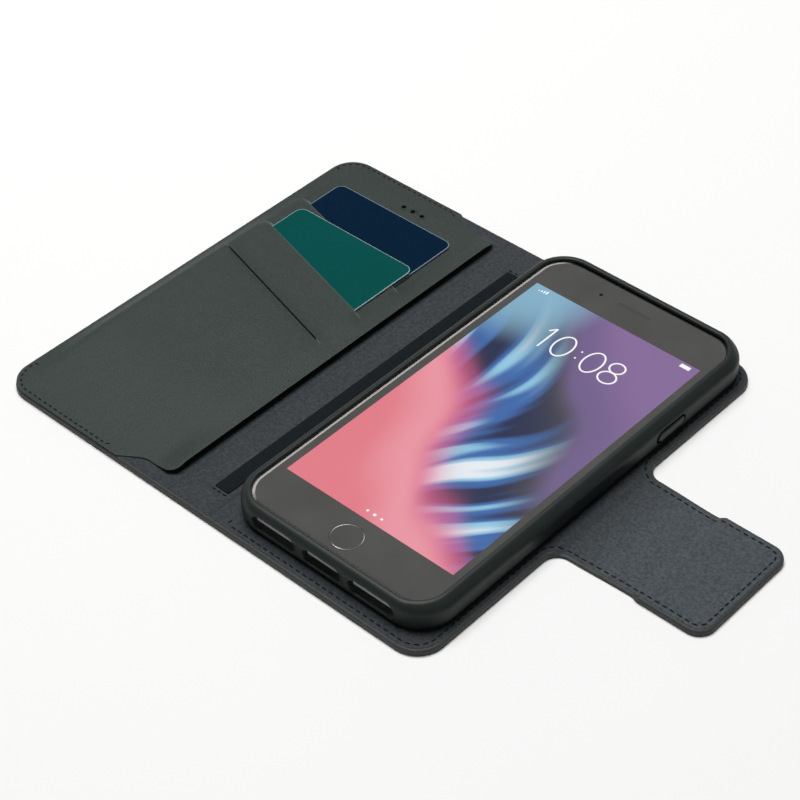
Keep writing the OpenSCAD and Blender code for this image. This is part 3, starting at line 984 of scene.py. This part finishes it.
# Each run: its side, how far from the short edge it starts, and where along that edge it ends
THREAD_RUNS = ((-1, 12.4, -91.8), (1, 9.3, -88.6))
for side, start_y, end_x in THREAD_RUNS:
    line = [(COVER_X0 + 3.1, side * (HALF_H - start_y - 0.4))]
    line.append((COVER_X0 + THREAD_IN, side * (HALF_H - start_y)))
    inner = COVER_R - THREAD_IN
    for k in range(9):
        a = math.pi / 2 * k / 8
        x = COVER_X0 + COVER_R - inner * math.cos(a)
        line.append((x, side * (HALF_H - COVER_R + inner * math.sin(a))))
    line += [(end_x, side * (HALF_H - THREAD_IN)), (end_x + 1.2, side * (HALF_H - 2.9))]
    for at, direction in along(line, 0.6, 2.5):
        add_stitch(bm, at, direction, wallet_height(at[0], at[1]) - 0.02, 1.75)
to_object("stitching_wallet", bm, "front", [THREAD])

# ---- Cards ----


CARD_R = 3.18


def card(name, node, material):
    low, high = box(node)
    rings = [(0.16, low[2]), (0.03, low[2] + 0.1), (0.0, low[2] + 0.2), (0.0, high[2] - 0.2)]
    rings += [(0.04, high[2] - 0.06), (0.16, high[2] - 0.012), (0.34, high[2])]
    pale = [0.2, 0.8, 1.0, 1.0, 1.0, 0.8, 0.0]
    bm = ring_solid(rect(low[0], low[1], high[0], high[1], CARD_R), rings, pale)
    obj = to_object(name, bm, node, [material], 30)
    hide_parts(node)


card("green_card", "card_green", GREEN)
card("navy_card", "card_navy", NAVY)

# ---- Tray ----

tray_h = (TRAY_HIGH - TRAY_LOW)[1]
WALL = 2.2
TRAY_R = 13.55
FOOT_R = 2.1
HOLLOW_R = 3.3
FLOOR_Z = COVER_T + 1.2
RIM_Z = TRAY_HIGH[2]
LIP_IN_R = 0.75
LIP_W = 3.6
SHOULDER_W, SHOULDER_H = 2.75, 3.9
FOOT_H = 3.3
OUTER_MID_Z = 7.4
WALL_MID_Z = 8.2
LEAN = 0.8


def arc(cx, cz, r, a0, a1, n):
    for k in range(n + 1):
        a = math.radians(a0 + (a1 - a0) * k / n)
        yield (cx - r * math.cos(a), cz + r * math.sin(a))


# Foot, outer face, a soft lip leaning over the phone's shoulder, its underside, then the hollow
rings = []
for d, z in arc(FOOT_R, FOOT_R, FOOT_R, -90, 0, 8):
    rings.append((d, COVER_T + FOOT_H + (z - FOOT_R) * FOOT_H / FOOT_R))
rings += [(0.0, OUTER_MID_Z)]
lip_start = len(rings)
for d, z in arc(SHOULDER_W, 0.0, SHOULDER_W, 0, 90, 12):
    rings.append((d, RIM_Z - SHOULDER_H + z * SHOULDER_H / SHOULDER_W))
rings += list(arc(LIP_W - LIP_IN_R, RIM_Z - LIP_IN_R, LIP_IN_R, 90, 180, 7))
lip_end = len(rings)
rings += [(LIP_W - 0.03, RIM_Z - 1.08), (LIP_W - 0.15, RIM_Z - 1.2), (WALL + 0.4, RIM_Z - 1.75)]
rings += [(WALL + 0.06, RIM_Z - 2.5), (WALL, RIM_Z - 3.1), (WALL, WALL_MID_Z)]
rings += list(arc(WALL + HOLLOW_R, FLOOR_Z + HOLLOW_R, HOLLOW_R, 0, -90, 8))
# Painted highlight along the top of the lip
lip_highlight = [0.0] * len(rings)
for k in range(lip_start, lip_end):
    lip_highlight[k] = 0.6 * math.sin(math.pi * (k - lip_start) / (lip_end - lip_start - 1)) ** 2
tray_outline = rect(
    TRAY_LOW[0], TRAY_Y - tray_h / 2, TRAY_HIGH[0], TRAY_Y + tray_h / 2, TRAY_R, 4.5
)
bm = ring_solid(tray_outline, rings, lip_highlight)


def lean(p):
    """The right-hand lip stands a little further over the glass than the left one."""
    x, y, z = p
    return (x - LEAN * smooth((x - 30) / 6) * smooth((z - RIM_Z + 2.6) / 2.2), y, z)


warp(bm, lean)
tray = to_object("moulded_tray", bm, None, [TRAY], 50)
SLOT_Z = (HOUSING_LOW[2] + GLASS_HIGH[2]) / 2
FLARE = [(-0.95, -1.0), (-0.62, 0.0), (-0.36, 0.12), (-0.12, 0.4), (0.0, 0.85), (0.0, 3.2)]


def bottom_cutter(name, x, w, h):
    y = TRAY_LOW[1]
    return prism(name, capsule(w, h), FLARE, lambda p: (x - p[0], y + p[2], SLOT_Z + p[1]))


def side_cutter(name, side, y, w, h, z, rings):
    x = TRAY_HIGH[0] if side > 0 else TRAY_LOW[0]

    def place(p):
        return (x - side * p[2], y + side * p[0], z + p[1])

    return prism(name, capsule(w, h), rings, place)


SHARP = [(-0.12, -1.0), (-0.12, 0.0), (0.0, 0.15), (0.0, 3.2)]
CUT_H = 5.2
PORT_W = 15.0
SPEAKER_W, SPEAKER_X = 17.6, 20.0
MUTE_Y, MUTE_W = 56.0, 10.0
cutters = [bottom_cutter("port", 0.0, PORT_W, CUT_H)]
cutters += [bottom_cutter(f"speaker{s}", s * SPEAKER_X, SPEAKER_W, CUT_H) for s in (-1, 1)]
for button in ("power_button", "volume_up_button", "volume_down_button"):
    low, high = box(button)
    mid = (low + high) / 2
    side = 1 if mid[0] > 0 else -1
    length, width = high[1] - low[1] + 1.5, high[2] - low[2] + 1.4
    cutters.append(side_cutter(button, side, mid[1], length, width, mid[2], SHARP))
BUTTON_Z = (box("power_button")[0][2] + box("power_button")[1][2]) / 2
cutters.append(side_cutter("mute", -1, TRAY_Y + MUTE_Y, MUTE_W, CUT_H, BUTTON_Z, FLARE))
cutters.append(window_cutter("window_tray"))
subtract(tray, cutters)
tray.data.set_sharp_from_angle(angle=math.radians(42))
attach(tray, "back")
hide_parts("phone_tray")

# ---- Button pads ----

for button in ("power_button", "volume_up_button", "volume_down_button"):
    low, high = box(button)
    mid = (low + high) / 2
    side = 1 if mid[0] > 0 else -1
    depth = high[0] - low[0]
    rings = [(0.15, 0.0), (0.0, 0.1), (0.0, depth - 0.55), (0.08, depth - 0.25)]
    rings += [(0.3, depth - 0.07), (0.62, depth)]
    outline = capsule(high[1] - low[1], high[2] - low[2], 12)
    bm = ring_solid(outline, rings, [0, 0, 0, 0.3, 0.4, 0])
    base = low[0] if side > 0 else high[0]
    warp(bm, lambda p: (base + side * p[2], mid[1] + side * p[0], mid[2] + p[1]))
    pad = to_object(button + "_pad", bm, button, [BUTTON], 50)
    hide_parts(button)

# ---- Phone details ----


def flat_piece(name, outline, z, thickness, material, angle=30, edge=None):
    bm = ring_solid(outline, [(0.0, z), (0.0, z + thickness)], edge)
    return to_object(name, bm, "phone", [material], angle)


def glowing(name, colour, strength=1.0):
    m = Nodes(name, BLANK, 0.4, specular=0.2)
    m.set("Emission Color", (*colour, 1))
    m.set("Emission Strength", strength)
    return m


def wallpaper():
    """A flowing abstract gradient: warm at the phone's foot, violet and blue at its head."""
    m = glowing("lit_screen", (0.5, 0.2, 0.3))
    m.set("Roughness", 0.3)
    split = m.node("ShaderNodeSeparateXYZ")
    w, h = (DISPLAY_HIGH - DISPLAY_LOW)[:2]
    centred = m.node("ShaderNodeMapping")
    centred.inputs["Location"].default_value = (0, -TRAY_Y / h, 0)
    centred.inputs["Scale"].default_value = (1 / w, 1 / h, 0)
    m.link(m.rest(), centred.inputs["Vector"])
    m.link(centred.outputs["Vector"], split.inputs[0])
    u, v = split.outputs["X"], split.outputs["Y"]
    sway = m.math("SUBTRACT", m.noise(1.6, 1.0, 0.4, centred.outputs["Vector"]), 0.5)
    slant = m.math("ADD", m.math("MULTIPLY", u, 0.62), m.math("MULTIPLY", v, 0.85))
    flow = m.math("ADD", m.math("ADD", slant, m.math("MULTIPLY", sway, 0.55)), 0.5)
    ground = m.ramp(
        flow,
        [
            (0.0, (0.74, 0.20, 0.24)),
            (0.26, (0.80, 0.30, 0.36)),
            (0.42, (0.66, 0.13, 0.26)),
            (0.50, (0.09, 0.07, 0.10)),
            (0.62, (0.085, 0.08, 0.085)),
            (0.76, (0.17, 0.12, 0.26)),
            (1.0, (0.24, 0.15, 0.32)),
        ],
        True,
    )
    across = m.math("SUBTRACT", m.math("MULTIPLY", u, 0.85), m.math("MULTIPLY", v, 0.42))
    bend_in = m.math("MULTIPLY", m.math("MULTIPLY", v, v), 1.3)
    streak = m.math("ADD", m.math("ADD", across, bend_in), m.math("MULTIPLY", sway, 0.28))
    bands = m.noise(5.5, 2.0, 0.5, m_vector(m, streak, m.math("MULTIPLY", slant, 0.1)))
    glow = m.ramp(
        bands,
        [
            (0.42, (0.02, 0.03, 0.08)),
            (0.50, (0.05, 0.15, 0.42)),
            (0.56, (0.30, 0.60, 0.80)),
            (0.64, (0.86, 0.90, 0.95)),
        ],
        True,
    )
    off_middle = m.math("ABSOLUTE", m.math("SUBTRACT", flow, 0.52))
    middle = m.math("SUBTRACT", 1.0, m.math("MULTIPLY", off_middle, 4.6), clamp=True)
    middle = m.math("MULTIPLY", smooth_node(m, middle), 0.92)
    head_u = m.math("ADD", u, 0.5)
    head_v = m.math("MULTIPLY", m.math("SUBTRACT", 0.5, v), 1.5)
    away = m.math("ADD", m.math("MULTIPLY", head_u, head_u), m.math("MULTIPLY", head_v, head_v))
    head = smooth_node(m, m.math("SUBTRACT", 1.0, m.math("DIVIDE", away, 0.2), clamp=True))
    lit = m.mix(middle, ground, glow)
    lit = m.mix(m.math("MULTIPLY", head, 0.9), lit, (0.25, 0.47, 0.62))
    m.link(lit, m.shader.inputs["Emission Color"])
    return m.material


def m_vector(m, x, y):
    n = m.node("ShaderNodeCombineXYZ")
    m.link(x, n.inputs[0])
    m.link(y, n.inputs[1])
    return n.outputs[0]


def smooth_node(m, value):
    n = m.node("ShaderNodeMapRange", interpolation_type="SMOOTHSTEP")
    m.link(value, n.inputs["Value"])
    return n.outputs["Result"]


SCREEN = wallpaper()
WHITE = glowing("screen_white", (0.95, 0.95, 0.97)).material
home_low, home_high = box("phone_home_button")
HOME_X, HOME_Y = (home_low[0] + home_high[0]) / 2, (home_low[1] + home_high[1]) / 2
HOME_R = (home_high[0] - home_low[0]) / 2
GLASS_Z = GLASS_HIGH[2]
screen_outline = rect(DISPLAY_LOW[0], DISPLAY_LOW[1], DISPLAY_HIGH[0], DISPLAY_HIGH[1], 0.05, 90)
screen_t = DISPLAY_HIGH[2] - DISPLAY_LOW[2] - 0.005
screen = flat_piece("screen", screen_outline, DISPLAY_LOW[2], screen_t, SCREEN)
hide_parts("phone_display")

EAR_MESH = plastic("earpiece_mesh", (0.036, 0.036, 0.035), 0.5, 0.01, 0.2)
EAR_Y = TRAY_Y - (HOME_Y - TRAY_Y)
SENSOR_X = -13.9
earpiece = capsule(13.5, 1.5, 12) + np.array([0.0, EAR_Y])
flat_piece("earpiece_mesh", earpiece, GLASS_Z - 0.28, 0.24, EAR_MESH)
sensor = capsule(1.3, 1.29, 12) + np.array([SENSOR_X, EAR_Y])
flat_piece("sensor_window", sensor, GLASS_Z - 0.1, 0.106, BLACK)

ring = Nodes("home_ring", (0.25, 0.25, 0.25), 0.3, 0.6)
# Painted glints: the ring is paler and glows faintly where GLINTS puts them
ring.colour(ring.mix(ring.edge(), (0.075, 0.075, 0.072), (0.42, 0.42, 0.42)))
glimmer = ring.mix(ring.edge(), BLANK, (0.16, 0.16, 0.16))
ring.link(glimmer, ring.shader.inputs["Emission Color"])
ring.set("Emission Strength", 1.0)
# Where round the ring its painted glints sit, and how widely, in degrees
GLINTS = ((30, 24), (165, 34), (275, 20))
RING_STEPS = 96


def glint_at(degrees):
    return max(math.exp(-(((degrees - c + 180) % 360 - 180) / s) ** 2) for c, s in GLINTS)


bm = bmesh.new()
layer = bm.verts.layers.float.new("edge")
rows = []
for k in range(RING_STEPS):
    a = 2 * math.pi * k / RING_STEPS
    glint = glint_at(math.degrees(a))
    row = []
    for r, z in ((HOME_R - 0.26, 0.0), (HOME_R - 0.2, 0.05), (HOME_R - 0.06, 0.05), (HOME_R, 0.0)):
        v = bm.verts.new((HOME_X + r * math.cos(a), HOME_Y + r * math.sin(a), GLASS_Z - 0.06 + z))
        v[layer] = glint
        row.append(v)
    rows.append(row)
for k in range(RING_STEPS):
    a, b = rows[k], rows[(k + 1) % RING_STEPS]
    for i in range(3):
        bm.faces.new((a[i], b[i], b[i + 1], a[i + 1]))
to_object("home_ring", bm, "phone", [ring.material], 60)

# ---- Lit marks on the screen: a generic clock in strokes, signal bars, a battery, three dots ----

MARK_Z = GLASS_Z + 0.004


def stroke(bm, points, width):
    p = np.asarray(points, float)
    d = np.gradient(p, axis=0)
    d = d / np.linalg.norm(d, axis=1)[:, None]
    n = np.c_[-d[:, 1], d[:, 0]] * width / 2
    left = [bm.verts.new((*q, MARK_Z)) for q in p + n]
    right = [bm.verts.new((*q, MARK_Z)) for q in p - n]
    for i in range(len(p) - 1):
        bm.faces.new((right[i], right[i + 1], left[i + 1], left[i]))


def oval(cx, cy, rx, ry, n=28):
    turns = [2 * math.pi * k / n for k in range(n + 1)]
    return [(cx + rx * math.cos(t), cy + ry * math.sin(t)) for t in turns]


bm = bmesh.new()
CLOCK_Y = 43.5
DIGIT_H = 11.0
PEN = 0.62
STATUS_Y = 61.6
DOTS_Y = -55.0
DOT_PITCH = 2.9
digit_top = CLOCK_Y + DIGIT_H / 2
stroke(bm, [(-15.2, CLOCK_Y + 3.2), (-13.4, digit_top), (-13.2, digit_top - 0.1)], PEN)
stroke(bm, [(-13.3, digit_top), (-13.3, CLOCK_Y - DIGIT_H / 2)], PEN)
stroke(bm, oval(-6.6, CLOCK_Y, 3.3, DIGIT_H / 2), PEN)
stroke(bm, oval(5.6, CLOCK_Y, 3.3, DIGIT_H / 2), PEN)
stroke(bm, oval(13.6, CLOCK_Y + 2.9, 2.7, 2.6), PEN)
stroke(bm, oval(13.6, CLOCK_Y - 2.7, 3.2, 2.9), PEN)
for y in (-1.9, 1.9):
    stroke(bm, [(-0.5, CLOCK_Y + y), (0.1, CLOCK_Y + y)], 0.7)
stroke(bm, [(27.6, STATUS_Y), (31.4, STATUS_Y)], 1.7)
for k in range(4):
    bar_y = STATUS_Y - 0.8 + 0.2 * k
    stroke(bm, [(-31.4 + 1.0 * k, bar_y), (-30.8 + 1.0 * k, bar_y)], 0.4 + 0.4 * k)
for k, size in ((-1, 0.9), (0, 1.15), (1, 0.9)):
    disc = oval(0, 0, size / 2, size / 2, 16)[:-1]
    bm.faces.new([bm.verts.new((x + DOT_PITCH * k, y + DOTS_Y, MARK_Z)) for x, y in disc])
to_object("screen_marks", bm, "phone", [WHITE])

# ---- Light, floor and camera ----

FLOOR_COLOUR = (0.76, 0.76, 0.755)
ground = Nodes("studio_floor", FLOOR_COLOUR, 0.75, specular=0.1)
ground.colour(ground.mix(ground.noise(0.004, 2.0), FLOOR_COLOUR, (0.775, 0.775, 0.77)))
bm = bmesh.new()
FLOOR_REACH = 6000.0
for x, y in ((-1, -1), (1, -1), (1, 1), (-1, 1)):
    bm.verts.new((x * FLOOR_REACH, y * FLOOR_REACH, -0.02))
bm.faces.new(bm.verts[:])
floor = to_object("floor", bm, None, [ground.material])

world = bpy.data.worlds.new("studio")
bpy.context.scene.world = world
world.use_nodes = True
background = world.node_tree.nodes["Background"]
background.inputs["Color"].default_value = (1.0, 1.0, 0.995, 1)


def studio_glow(tree, shader):
    """Dim all round, with a pale sweep low down on the far left."""
    place = tree.nodes.new("ShaderNodeTexCoord").outputs["Generated"]
    split = tree.nodes.new("ShaderNodeSeparateXYZ")
    tree.links.new(place, split.inputs[0])

    def do(operation, a, b, clamp=False):
        n = tree.nodes.new("ShaderNodeMath")
        n.operation, n.use_clamp = operation, clamp
        for socket, v in zip(n.inputs, (a, b)):
            if isinstance(v, float):
                socket.default_value = v
            else:
                tree.links.new(v, socket)
        return n.outputs[0]

    x, y, z = (split.outputs[axis] for axis in "XYZ")
    side = do("ADD", do("MULTIPLY", x, -0.83), do("MULTIPLY", y, 0.55), True)
    low = do("SUBTRACT", 1.0, do("DIVIDE", do("ABSOLUTE", z, 0.0), 0.42), True)
    glow = do("MULTIPLY", do("MULTIPLY", side, side), low)
    tree.links.new(do("ADD", 0.10, do("MULTIPLY", glow, 1.1)), shader.inputs["Strength"])


studio_glow(world.node_tree, background)


def area(name, place, aim, size, power):
    light = bpy.data.lights.new(name, "AREA")
    light.shape = "DISK"
    light.size = size
    light.energy = power
    obj = bpy.data.objects.new(name, light)
    obj.location = place
    obj.rotation_euler = (Vector(aim) - Vector(place)).to_track_quat("-Z", "Y").to_euler()
    bpy.context.scene.collection.objects.link(obj)


area("key", (-0.45, 0.18, 2.05), (-0.02, 0, 0), 1.5, 58.0)

AZIMUTH, ELEVATION, ROLL = 42.742, 41.988, -0.847
DISTANCE = 0.71016
LENS = 100.08
aim = Vector((-0.02865, -0.01199, 0.01182))
a, e, r = (math.radians(v) for v in (AZIMUTH, ELEVATION, ROLL))
back = Vector((math.sin(a) * math.cos(e), -math.cos(a) * math.cos(e), math.sin(e)))
right = Vector((math.cos(a), math.sin(a), 0))
up = back.cross(right)
turned_right = right * math.cos(r) + up * math.sin(r)
turned_up = up * math.cos(r) - right * math.sin(r)
data = bpy.data.cameras.new("camera")
data.lens = LENS
data.sensor_width = 36.0
data.clip_start = 0.01
data.dof.use_dof = False
camera = bpy.data.objects.new("camera", data)
turn = Matrix((turned_right, turned_up, back)).transposed()
camera.matrix_world = Matrix.Translation(aim + back * DISTANCE) @ turn.to_4x4()
bpy.context.scene.collection.objects.link(camera)
bpy.context.scene.camera = camera
bpy.context.scene.view_settings.view_transform = "Standard"
